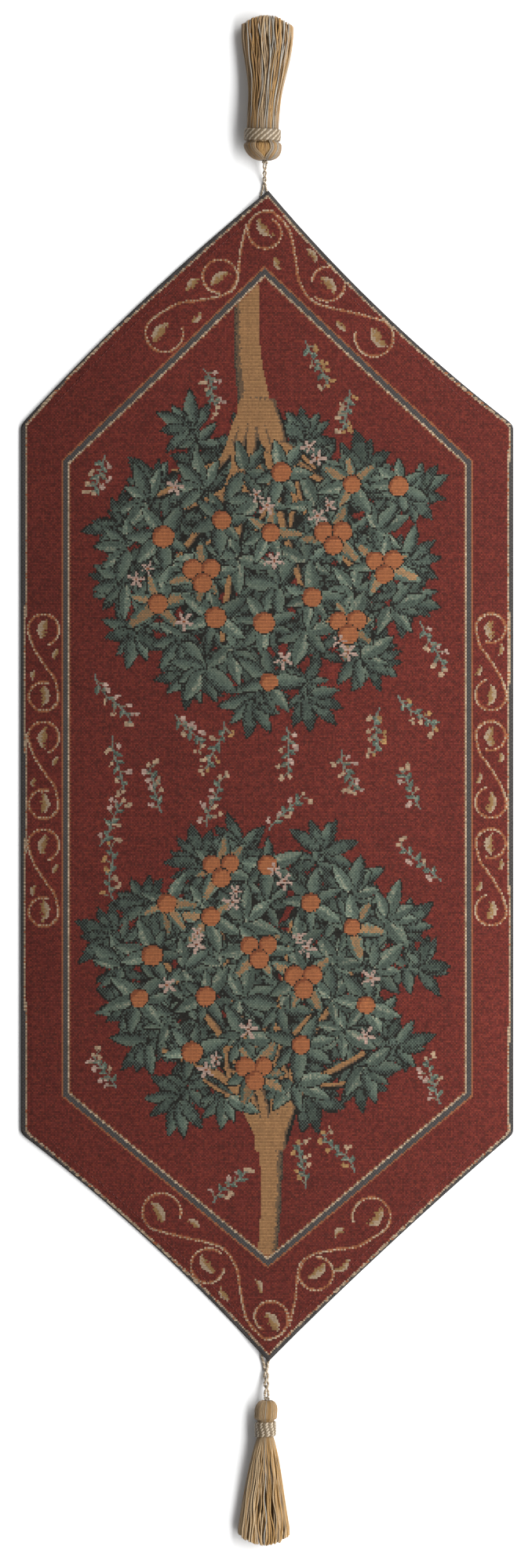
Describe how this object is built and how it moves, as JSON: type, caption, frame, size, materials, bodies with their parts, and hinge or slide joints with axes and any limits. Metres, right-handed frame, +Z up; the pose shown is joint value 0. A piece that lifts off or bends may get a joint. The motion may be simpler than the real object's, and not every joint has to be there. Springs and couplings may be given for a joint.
{
  "type": "tasselled tapestry wall hanging",
  "caption": "Lined woven tapestry panel with straight sides, a point at each end, and a tassel on a short twisted cord at each point.",
  "frame": {"origin": "centre of the overall length and width, on the flat surface that the lining lies on", "axes": "+Z up out of the woven face, +Y along the length towards the top tassel, +X towards the right side as the face is looked at"},
  "size_m": [0.35, 1.0866, 0.02],
  "materials": {
    "red_jacquard": "matt ribbed jacquard weave with a many-coloured tree and scroll pattern on red",
    "lining_cotton": "plain matt cotton weave",
    "red_thread": "dull sewing thread",
    "cord_yarn": "twisted two-ply cord with a soft sheen",
    "tassel_yarn": "mixed gold and taupe rayon yarn with a silky sheen",
    "core_yarn": "gold yarn with a silky sheen",
    "binding_yarn": "wrapped twisted cord with a soft sheen"
  },
  "bodies": {
    "panel": {"face_panel": "red_jacquard", "lining_panel": "lining_cotton", "lining_slip_stitch": "red_thread", "top_left_hem_stitch": "red_thread", "top_right_hem_stitch": "red_thread", "bottom_left_hem_stitch": "red_thread", "bottom_right_hem_stitch": "red_thread", "top_tip_tack": "red_thread", "bottom_tip_tack": "red_thread"},
    "top_cord": {"top_hanging_cord": "cord_yarn"},
    "top_tassel": {"top_cord_knot": "cord_yarn", "top_tassel_yarn": "tassel_yarn", "top_tassel_core": "core_yarn", "top_neck_binding": "binding_yarn"},
    "bottom_cord": {"bottom_hanging_cord": "cord_yarn"},
    "bottom_tassel": {"bottom_cord_knot": "cord_yarn", "bottom_tassel_yarn": "tassel_yarn", "bottom_tassel_core": "core_yarn", "bottom_neck_binding": "binding_yarn"}
  },
  "joints": [
    {"name": "top_cord_swing", "type": "hinge", "parent": "panel", "child": "top_cord", "pos_m": [-0.002, 0.41475, 0.00105], "axis": [0, 0, 1], "range_deg": [-80, 80]},
    {"name": "top_tassel_fold", "type": "hinge", "parent": "top_cord", "child": "top_tassel", "pos_m": [-0.0016, 0.43885, 0.01], "axis": [1, 0, 0], "range_deg": [-70, 90]},
    {"name": "bottom_cord_swing", "type": "hinge", "parent": "panel", "child": "bottom_cord", "pos_m": [-0.0011, -0.40855, 0.00135], "axis": [0, 0, 1], "range_deg": [-80, 80]},
    {"name": "bottom_tassel_fold", "type": "hinge", "parent": "bottom_cord", "child": "bottom_tassel", "pos_m": [-0.0003, -0.43875, 0.0072], "axis": [-1, 0, 0], "range_deg": [-70, 90]}
  ]
}
